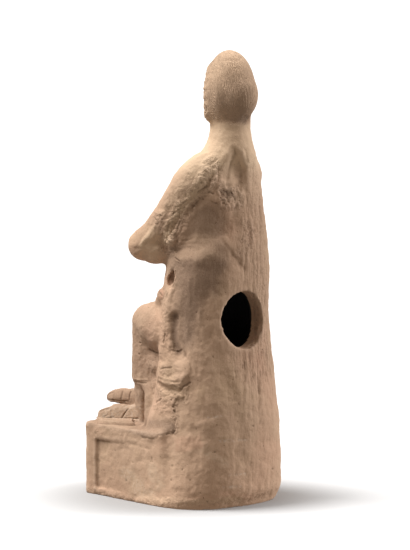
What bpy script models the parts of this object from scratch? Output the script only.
"""A hollow terracotta statuette of a seated woman, with a round firing vent in its back.

The figure faces -Y, +X is her left and +Z is up. The origin is on the ground, in the middle of
the whole. Free forms are given in shares: one share is 1/455 of the statue's height, with y
counted from the neck's axis and z from the ground.
"""

import math

import bmesh
import bpy
import numpy as np
from mathutils import Matrix, Vector

# Driving sizes, in metres
HEIGHT = 0.32  # from the ground to the crown of the head
NECK_BEHIND = 0.0417  # from the origin back to the neck's axis
PLINTH_HEIGHT = 0.052
PLINTH_WIDTH = 0.089
PLINTH_FRONT = 0.1025  # from the neck's axis to the plinth's front face
WALL = 0.0125  # thickness of the clay shell
VENT_WIDTH = 0.039
VENT_TALL = 0.040
VENT_HEIGHT = 0.1315  # from the ground to the vent's middle
VENT_ASIDE = 0.0018  # from the middle of the back towards her left
VENT_LEAN = 8.0  # degrees that the hand-cut vent leans to her right
PANEL_DEPTH = 0.0018
PANEL_RAIL = 0.012  # height of the raised band above each sunk panel
PANEL_POST = 0.012  # width of the raised band at the plinth's corners
PANEL_FOOT = 0.005  # height of the band below each sunk panel
PANEL_LENGTH = 0.042  # of a side panel, whose floor rises to nothing at its rear end
PANEL_FLARE = 0.0036  # how much further out the widening base is at that end

SHARE = HEIGHT / 455
NECK = Vector((0, NECK_BEHIND, 0))
TOP = PLINTH_HEIGHT / SHARE
HALF = PLINTH_WIDTH / 2 / SHARE
FRONT = PLINTH_FRONT / SHARE
VENT_REACH = 4 * WALL  # length of the vent's cut, clear of the wall on both sides

VOXEL = 2.3 * SHARE
SKIN_TRIANGLES = 8100

CLAY_COLOUR = (0.50, 0.33, 0.22, 1.0)
CLAY_ROUGHNESS = 0.92


def at(x, y, z):
    """A point given in shares, in metres."""
    return Vector((x, y, z)) * SHARE + NECK


def clear_scene():
    for old in list(bpy.data.objects):
        bpy.data.objects.remove(old, do_unlink=True)


def collection(name, hidden=False):
    made = bpy.data.collections.new(name)
    bpy.context.scene.collection.children.link(made)
    made.hide_render = hidden
    return made


def link(name, mesh, group):
    made = bpy.data.objects.new(name, mesh)
    group.objects.link(made)
    return made


def mesh_of(bm, name):
    mesh = bpy.data.meshes.new(name)
    bm.to_mesh(mesh)
    bm.free()
    return mesh


# Masses


def unit_ball():
    bm = bmesh.new()
    bmesh.ops.create_uvsphere(bm, u_segments=28, v_segments=18, radius=1)
    points = [v.co.copy() for v in bm.verts]
    faces = [[v.index for v in f.verts] for f in bm.faces]
    bm.free()
    return points, faces


def smooth_line(points, steps=6):
    """A Catmull-Rom line through the points, each a tuple of any length."""
    ends = [points[0], *points, points[-1]]
    line = []
    for before, start, end, after in zip(ends, ends[1:], ends[2:], ends[3:]):
        for i in range(steps):
            t = i / steps
            line.append(tuple(
                0.5 * (2 * p1 + (p2 - p0) * t + (2 * p0 - 5 * p1 + 4 * p2 - p3) * t**2
                       + (3 * p1 - p0 - 3 * p2 + p3) * t**3)
                for p0, p1, p2, p3 in zip(before, start, end, after)
            ))
    line.append(tuple(points[-1]))
    return line


def ring(section, inset=0.0, count=48):
    """One flat section (z, centre y, half width, front, back, fullness): a lopsided superellipse."""
    z, centre, half, front, back, full = section
    points = []
    for i in range(count):
        angle = math.tau * i / count
        c, s = math.cos(angle), math.sin(angle)
        depth = (back if s > 0 else front) - inset
        x = (half - inset) * math.copysign(abs(c) ** (2 / full), c)
        y = centre + depth * math.copysign(abs(s) ** (2 / full), s)
        points.append(at(x, y, z))
    return points


class Clay:
    """Gathers the lumps of clay that are pressed together into one skin."""

    def __init__(self):
        self.points = []
        self.faces = []
        self.ball_points, self.ball_faces = unit_ball()

    def add(self, points, faces):
        first = len(self.points)
        self.points += points
        self.faces += [[first + i for i in face] for face in faces]

    def ball(self, centre, radii, turn=(0, 0, 0)):
        """An ellipsoid with its half axes in shares, turned by degrees about x, y and z."""
        spin = Matrix.Rotation(math.radians(turn[2]), 3, "Z")
        spin @= Matrix.Rotation(math.radians(turn[1]), 3, "Y")
        spin @= Matrix.Rotation(math.radians(turn[0]), 3, "X")
        shape = spin @ Matrix.Diagonal([r * SHARE for r in radii])
        self.add([at(*centre) + shape @ p for p in self.ball_points], self.ball_faces)

    def tube(self, rings):
        """Closes a run of rings, each a list of as many points, into a tube with flat ends."""
        count = len(rings[0])
        faces = [list(range(count)), [len(rings) * count - 1 - i for i in range(count)]]
        for row in range(len(rings) - 1):
            for i in range(count):
                a, b = row * count + i, row * count + (i + 1) % count
                faces.append([a, b, b + count, a + count])
        self.add([p for loop in rings for p in loop], faces)

    def limb(self, points, hem=False, count=20):
        """A round limb through (x, y, z, radius) points; a hem leaves its far end flat."""
        line = smooth_line(points)
        rings = []
        for i, (x, y, z, r) in enumerate(line):
            ahead, behind = line[min(i + 1, len(line) - 1)], line[max(i - 1, 0)]
            turn = (at(*ahead[:3]) - at(*behind[:3])).to_track_quat("Z", "Y")
            angles = [math.tau * k / count for k in range(count)]
            rings.append([
                at(x, y, z) + turn @ Vector((math.cos(a), math.sin(a), 0)) * r * SHARE for a in angles
            ])
        self.tube(rings)
        for x, y, z, r in (line[:1] if hem else (line[0], line[-1])):
            self.ball((x, y, z), (r, r, r))

    def loft(self, sections):
        """A body of flat sections, evened between the ones given."""
        self.tube([ring(s) for s in smooth_line(sections, 4)])

    def base(self, low, high):
        """The plinth: square in front, widening a little as it runs back into the trunk."""
        side = []
        for i in range(13):
            share = i / 12
            ease = share * share * (3 - 2 * share)
            side.append((HALF + BASE_SPREAD * ease, -FRONT + (FRONT - 24) * share))
        outline = side + [(-x, y) for x, y in reversed(side)]
        self.tube([[at(x, y, z) for x, y in outline] for z in (low, high)])


BASE_SPREAD = 7  # how much wider the trunk's foot is than the plinth, on each side

# The trunk with its seat and back: z, centre y, half width, front, back, fullness
TRUNK = [
    (-6, -24, HALF + BASE_SPREAD - 1, 60, 47, 2.2),
    (6, -24, HALF + BASE_SPREAD, 62, 54, 2.3),
    (20, -24, HALF + BASE_SPREAD - 1, 62, 61, 2.4),
    (72, -24, HALF + BASE_SPREAD - 4, 60, 62, 2.4),
    (110, -22, 63, 50, 57, 2.3),
    (150, -21, 61, 46, 50, 2.2),
    (184, -21, 60, 46, 47, 2.1),
    (210, -17, 59, 48, 41, 2.1),
    (232, -13, 57, 50, 37, 2.2),
    (266, -11, 52, 44, 35, 2.2),
    (300, -9, 46, 36, 30, 2.2),
    (320, -8, 43, 31, 28, 2.2),
    (336, -6, 38, 27, 26, 2.1),
    (350, -4, 31, 24, 28, 2.0),
    (362, -2, 25, 21, 25, 2.0),
]


def body_masses(clay):
    clay.loft(TRUNK)
    clay.base(-6, TOP)
    # The cloth over both legs, as one soft block behind the shins
    clay.loft([
        (TOP - 4, -60, 50, 28, 30, 2.6), (104, -60, 47, 31, 30, 2.6), (116, -60, 44, 39, 30, 2.8),
        (145, -60, 42, 41, 30, 3.0), (172, -58, 42, 42, 30, 2.8), (185, -54, 43, 40, 26, 2.5),
        (192, -50, 38, 30, 22, 2.2),
    ])
    # Cloth gathered on the lap in front of the belly
    clay.limb([(-40, -50, 191, 12), (-20, -62, 194, 13), (10, -66, 196, 13), (38, -56, 202, 9)])
    clay.ball((46, -49, 209), (6, 7, 8))
    # Breasts, belly and shoulders under the dress
    for side in (-1, 1):
        clay.ball((side * 15, -36, 290), (17, 14, 17), (-12, 0, 0))
        clay.limb([(0, -3, 350, 22), (side * 18, -6, 341, 18), (side * 34, -11, 329, 17)])
    clay.ball((0, -40, 238), (32, 22, 32))


def head_masses(clay):
    clay.ball((0, 2.5, 417), (23, 26, 38.8), (7, 0, 0))
    clay.ball((0, 8, 411), (22, 24.5, 27))
    clay.ball((0, -10, 411), (18, 19, 29))
    clay.ball((0, -19, 389), (9.5, 9, 8.5))
    clay.limb([(0, 2, 396, 20), (0, 1, 380, 20.5), (0, 1, 366, 22.5), (0, -1, 350, 26)])
    # The roll of hair round the face, from the parting down to the jaw
    for side in (-1, 1):
        clay.ball((side * 12, 0, 409), (15.5, 17, 29))
        clay.limb([
            (0, -17, 438, 5.5), (side * 8.5, -15.5, 437, 5.5), (side * 15.5, -11, 429, 6),
            (side * 20, -9, 417, 6.5), (side * 20.5, -8.5, 403, 6), (side * 20.5, -9, 390, 6),
        ])
    clay.limb([(0, -28, 414, 2.2), (0, -31, 406, 2.8), (0, -32.5, 400, 3.8)])


def arm_masses(clay):
    # Her left arm in its sleeve, broken off below the elbow
    clay.limb([
        (28, -7, 339, 17), (39, -13, 327, 18.5), (43, -31, 300, 17.5), (46, -53, 274, 17),
        (49, -73, 258, 15.8),
    ])
    clay.ball((46, -56, 253), (15, 18, 13), (20, 0, 0))
    clay.limb([(30, -14, 318, 17), (38, -26, 284, 15), (40, -34, 264, 13)])
    # Her right arm, with the hand on the thigh
    clay.limb([
        (-28, -10, 342, 16), (-37, -19, 326, 18), (-47, -31, 292, 17.5), (-51, -41, 258, 15),
        (-47, -62, 234, 13), (-39, -80, 214, 11),
    ])
    clay.ball((-36, -86, 205), (9.5, 14, 6), (25, 0, 15))


def leg_masses(clay):
    for side in (-1, 1):
        clay.limb([
            (side * 30, -18, 172, 27), (side * 29, -56, 176, 26), (side * 28, -78, 178, 22.5),
            (side * 27, -84, 178, 19),
        ])
    # Her left shin, and the right one crossing in front of it, in cloth down to the ankles
    clay.limb([(28, -85, 179, 18.5), (28, -87, 158, 17.5), (28, -88, 116, 17)], hem=True)
    clay.limb([(-27, -84, 179, 18.5), (-22, -90, 155, 17.5), (-8, -98, 122, 16)], hem=True)


def foot(clay, heel, toe, lift, plump=1.0, width=10.0):
    """A shod foot from heel to toe, on a sole that starts at the height of lift."""
    length = math.hypot(toe[0] - heel[0], toe[1] - heel[1])
    east, north = (toe[0] - heel[0]) / length, (toe[1] - heel[1]) / length
    turn = math.degrees(math.atan2(north, east))
    outline = []
    for i in range(28):
        angle = math.tau * i / 28
        along = length / 2 * (1 + math.copysign(abs(math.cos(angle)) ** 0.8, math.cos(angle)))
        spread = width * (0.8 + 0.2 * along / length)
        across = spread * math.copysign(abs(math.sin(angle)) ** 0.8, math.sin(angle))
        outline.append((heel[0] + east * along - north * across, heel[1] + north * along + east * across))
    clay.tube([[at(x, y, z) for x, y in outline] for z in (lift - 1, lift + 6 * plump)])
    lumps = ((0.3, 8, (0.3, 0.74, 12)), (0.62, 7.5, (0.33, 0.84, 10.5)), (0.82, 6, (0.2, 0.78, 8)))
    for share, rise, size in lumps:
        middle = (heel[0] + east * length * share, heel[1] + north * length * share, lift + rise * plump)
        clay.ball(middle, (length * size[0], width * size[1], size[2] * plump), (0, 0, turn))


def feet_masses(clay):
    foot(clay, (14, -82), (45, -145), TOP)
    # Her right foot crosses over the left one, on a low rise of clay
    foot(clay, (6, -108), (20.5, -157.2), TOP + 16, 0.78)
    clay.ball((11, -124, TOP + 6), (9, 20, 14))
    clay.limb([(28, -91, 130, 13.5), (28, -93, 106, 12.5), (22, -93, 84, 12)])
    clay.limb([(-9, -98, 128, 14), (0, -106, 112, 12.5), (6, -112, 104, 12)])


# Skin


def skin_of(clay, group):
    """One closed skin over all the masses, evened by a few rounds of smoothing."""
    mesh = bpy.data.meshes.new("masses")
    mesh.from_pydata(clay.points, [], clay.faces)
    masses = link("masses", mesh, group)
    remesh = masses.modifiers.new("Skin", "REMESH")
    remesh.mode = "VOXEL"
    remesh.voxel_size = VOXEL
    smooth = masses.modifiers.new("Even", "SMOOTH")
    smooth.factor = 0.5
    smooth.iterations = 5
    graph = bpy.context.evaluated_depsgraph_get()
    skin = bpy.data.meshes.new_from_object(masses.evaluated_get(graph))
    bpy.data.objects.remove(masses, do_unlink=True)
    return skin


class Hand:
    """Presses hollows and raises ridges in a skin, along strokes drawn on one side of it."""

    def __init__(self, skin):
        self.skin = skin
        count = len(skin.vertices)
        self.points = np.empty(count * 3)
        skin.vertices.foreach_get("co", self.points)
        self.points = (self.points.reshape(-1, 3) - np.array(NECK)) / SHARE
        self.normals = np.array([v.normal for v in skin.vertices])

    def seen_from(self, facing, line):
        """Each point as (across, up) from a side, its distance from a line there, and how it faces."""
        angle = math.radians(facing)
        look = np.array([math.sin(angle), -math.cos(angle), 0])
        across = self.points @ np.array([math.cos(angle), math.sin(angle), 0])
        flat = np.stack([across, self.points[:, 2]], axis=1)
        near = np.full(len(flat), np.inf)
        for start, end in zip(line[:-1], line[1:]):
            along = end - start
            share = np.clip(((flat - start) @ along) / (along @ along), 0, 1)
            gap = np.linalg.norm(flat - start - share[:, None] * along, axis=1)
            near = np.minimum(near, gap)
        return flat, near, np.clip(self.normals @ look * 2, 0, 1)

    def push(self, amount):
        self.points += self.normals * amount[:, None]

    def stroke(self, facing, points, radius, height):
        """A stroke of (across, up) points on the side that faces the given degrees round from -Y."""
        flat, near, turned = self.seen_from(facing, np.array(smooth_line(points)))
        fade = np.clip(1 - (near / radius) ** 2, 0, 1) ** 2
        self.push(height * fade * turned)

    def patch(self, facing, corners, edge, height):
        """Raises all that lies inside an outline, with a sloping edge of the given width."""
        outline = np.array(smooth_line([*corners, corners[0]], 3))
        flat, near, turned = self.seen_from(facing, outline)
        inside = np.zeros(len(flat), dtype=bool)
        for start, end in zip(outline[:-1], outline[1:]):
            spans = (start[1] > flat[:, 1]) != (end[1] > flat[:, 1])
            rise = np.where(end[1] == start[1], 1, end[1] - start[1])
            where = start[0] + (flat[:, 1] - start[1]) / rise * (end[0] - start[0])
            inside ^= spans & (flat[:, 0] < where)
        self.push(height * np.where(inside, np.clip(near / edge, 0, 1), 0) * turned)

    def done(self):
        self.skin.vertices.foreach_set("co", (self.points * SHARE + np.array(NECK)).ravel())
        self.skin.update()


NEAR = 135  # her left back, which is the side with the broken arm


def relief(skin):
    hand = Hand(skin)
    # The seam of joined clay from the neck down to the broken arm, and the hollows beside it
    hand.stroke(NEAR, [(-14, 326), (-22, 306), (-40, 292), (-46, 278), (-54, 264)], 8, 2.6)
    hand.stroke(NEAR, [(2, 338), (-5, 322), (-11, 305)], 7, 1.8)
    hand.stroke(NEAR, [(9, 340), (12, 322), (9, 304), (6, 294)], 8, -2.6)
    hand.stroke(NEAR, [(-2, 284), (-20, 274), (-40, 262)], 18, -4)
    hand.stroke(NEAR, [(-54, 258), (-34, 263), (-14, 262), (2, 250), (14, 238)], 5, -1.2)
    # The hem of the sleeve, and the flat broken faces of the arm
    hand.stroke(NEAR, [(-82, 281), (-76, 268), (-64, 256)], 4, -1.6)
    hand.stroke(NEAR, [(-90, 254), (-82, 260), (-76, 272)], 5, 1.6)
    hand.stroke(NEAR, [(-84, 246), (-72, 248)], 10, -2.4)
    # The moulded cloth stands proud of the smoothed back along a ragged edge
    hand.patch(NEAR, [
        (-90, 200), (-66, 196), (-63, 173), (-60, 160), (-54, 150), (-42, 144), (-38, 128),
        (-42, 114), (-52, 106), (-56, 92), (-57, 74), (-92, 74),
    ], 4, 2.6)
    hand.stroke(NEAR, [(-54, 190), (-52, 172), (-48, 154)], 10, -3)
    hand.stroke(NEAR, [(-64, 174), (-63, 160)], 4, -2.4)
    hand.stroke(NEAR, [(-80, 150), (-70, 146)], 5, -2.4)
    hand.stroke(NEAR, [(-76, 136), (-66, 127), (-52, 128), (-44, 134)], 6, 2.4)
    hand.stroke(NEAR, [(-70, 122), (-58, 117), (-46, 118)], 5, -2)
    hand.stroke(NEAR, [(-78, 128), (-74, 104), (-72, 80)], 5, -2)
    # The dress: its neckline, the mantle's folds across the body, and folds between the legs
    for side in (-1, 1):
        hand.stroke(0, [(side * 22, 338), (side * 13, 320), (0, 310)], 4, -1.6)
    for down in (0, 15, 30, 44):
        hand.stroke(0, [(34, 300 - down), (6, 268 - down), (-26, 252 - down)], 6, 1.8)
    hand.stroke(0, [(-30, 190), (-4, 180), (24, 190)], 7, -2.5)
    hand.stroke(0, [(-3, 182), (4, 150), (12, 120)], 8, -3)
    for start, end in ((-12, 8), (2, 16), (14, 22)):
        hand.stroke(0, [(start, 178), ((start + end) / 2, 150), (end, 120)], 4, 1.8)
    hand.stroke(0, [(-46, 166), (-40, 144), (-30, 120)], 5, -2)
    for across in (-40, -26, -12, 6, 40):
        hand.stroke(0, [(across * 0.96, 116), (across, TOP + 4)], 5, -2)
    # Hair drawn back from the face in a soft roll over each ear
    for facing in (90, 270):
        side = 1 if facing == 90 else -1
        hand.stroke(facing, [(side * -5, 430), (side * -1, 408), (side * -5, 388)], 4, -1)
    hand.done()


def plain_clay():
    clay = bpy.data.materials.new("terracotta")
    clay.use_nodes = True
    shader = clay.node_tree.nodes["Principled BSDF"]
    shader.inputs["Base Color"].default_value = CLAY_COLOUR
    shader.inputs["Roughness"].default_value = CLAY_ROUGHNESS
    shader.inputs["Metallic"].default_value = 0.0
    return clay


# Cuts


def cut(target, name, bm, group):
    """Takes the closed shape in bm away from the target."""
    tool = link(name, mesh_of(bm, name), group)
    tool.hide_render = True
    tool.display_type = "WIRE"
    modifier = target.modifiers.new(name, "BOOLEAN")
    modifier.operation = "DIFFERENCE"
    modifier.solver = "EXACT"
    modifier.object = tool


def box(low, high):
    bm = bmesh.new()
    place = Matrix.Translation((low + high) / 2) @ Matrix.Diagonal((*(high - low), 1))
    bmesh.ops.create_cube(bm, size=1, matrix=place)
    return bm


def solid(clay):
    """The clay's closed shapes as a bmesh, facing outwards."""
    bm = bmesh.new()
    made = [bm.verts.new(p) for p in clay.points]
    for face in clay.faces:
        bm.faces.new([made[i] for i in face])
    bmesh.ops.recalc_face_normals(bm, faces=list(bm.faces))
    return bm


def hollow_trunk():
    """The trunk's own sections, a wall's thickness in."""
    wall = WALL / SHARE
    sections = [(-12, *TRUNK[0][1:]), *[s for s in TRUNK[1:] if s[0] <= 320]]
    sections[-1] = (320 - wall, *sections[-1][1:])
    clay = Clay()
    clay.tube([ring(s, wall, 32) for s in sections])
    return solid(clay)


def hollow_plinth():
    wall = WALL / SHARE
    return box(at(wall - HALF, wall - FRONT, -12), at(HALF - wall, -36, TOP - wall))


def panels():
    """The sunk panels: one in each side of the plinth, and one in its front."""
    low, high = PANEL_FOOT, PLINTH_HEIGHT - PANEL_RAIL
    cuts = []
    for side in (-1, 1):
        bm = box(Vector((-PANEL_DEPTH, 0, low)), Vector((0.01, PANEL_LENGTH, high)))
        place = Matrix.Translation((PLINTH_WIDTH / 2, NECK.y + PANEL_POST - PLINTH_FRONT, 0))
        place @= Matrix.Rotation(-math.atan((PANEL_DEPTH + PANEL_FLARE) / PANEL_LENGTH), 4, "Z")
        bmesh.ops.transform(bm, matrix=Matrix.Diagonal((side, 1, 1, 1)) @ place, verts=bm.verts)
        bmesh.ops.recalc_face_normals(bm, faces=list(bm.faces))
        cuts.append(("panel_left" if side > 0 else "panel_right", bm))
    reach = PLINTH_WIDTH / 2 - PANEL_POST
    face = NECK.y + PANEL_DEPTH - PLINTH_FRONT
    cuts.append(("panel_front", box(Vector((-reach, face - 0.01, low)), Vector((reach, face, high)))))
    return cuts


def vent():
    bm = bmesh.new()
    place = Matrix.Translation(NECK + Vector((VENT_ASIDE, VENT_REACH / 2 - 0.005, VENT_HEIGHT)))
    place @= Matrix.Rotation(-math.radians(VENT_LEAN), 4, "Y")
    place @= Matrix.Diagonal((VENT_WIDTH / 2, 1, VENT_TALL / 2, 1))
    place @= Matrix.Rotation(math.radians(90), 4, "X")
    bmesh.ops.create_cone(
        bm, cap_ends=True, segments=40, radius1=1, radius2=1, depth=VENT_REACH, matrix=place
    )
    return bm


def broken_pit():
    """The ragged pit in her left side where something on her lap has broken off."""
    clay = Clay()
    clay.ball((57, -29, 229), (6.5, 7, 12), (-14, 0, 0))
    return solid(clay)


def build():
    clear_scene()
    parts = collection("seated_woman")
    tools = collection("cutters", hidden=True)
    clay = Clay()
    body_masses(clay)
    leg_masses(clay)
    feet_masses(clay)
    arm_masses(clay)
    head_masses(clay)
    skin = skin_of(clay, parts)
    relief(skin)
    statue = link("seated_woman", skin, parts)
    thin = statue.modifiers.new("Thin", "DECIMATE")
    thin.ratio = SKIN_TRIANGLES / (2 * len(skin.polygons))
    cut(statue, "ground", box(Vector((-0.3, -0.3, -0.3)), Vector((0.3, 0.3, 0))), tools)
    cut(statue, "hollow_trunk", hollow_trunk(), tools)
    cut(statue, "hollow_plinth", hollow_plinth(), tools)
    cut(statue, "vent", vent(), tools)
    cut(statue, "broken_pit", broken_pit(), tools)
    for name, bm in panels():
        cut(statue, name, bm, tools)
    statue.data.materials.append(plain_clay())


build()
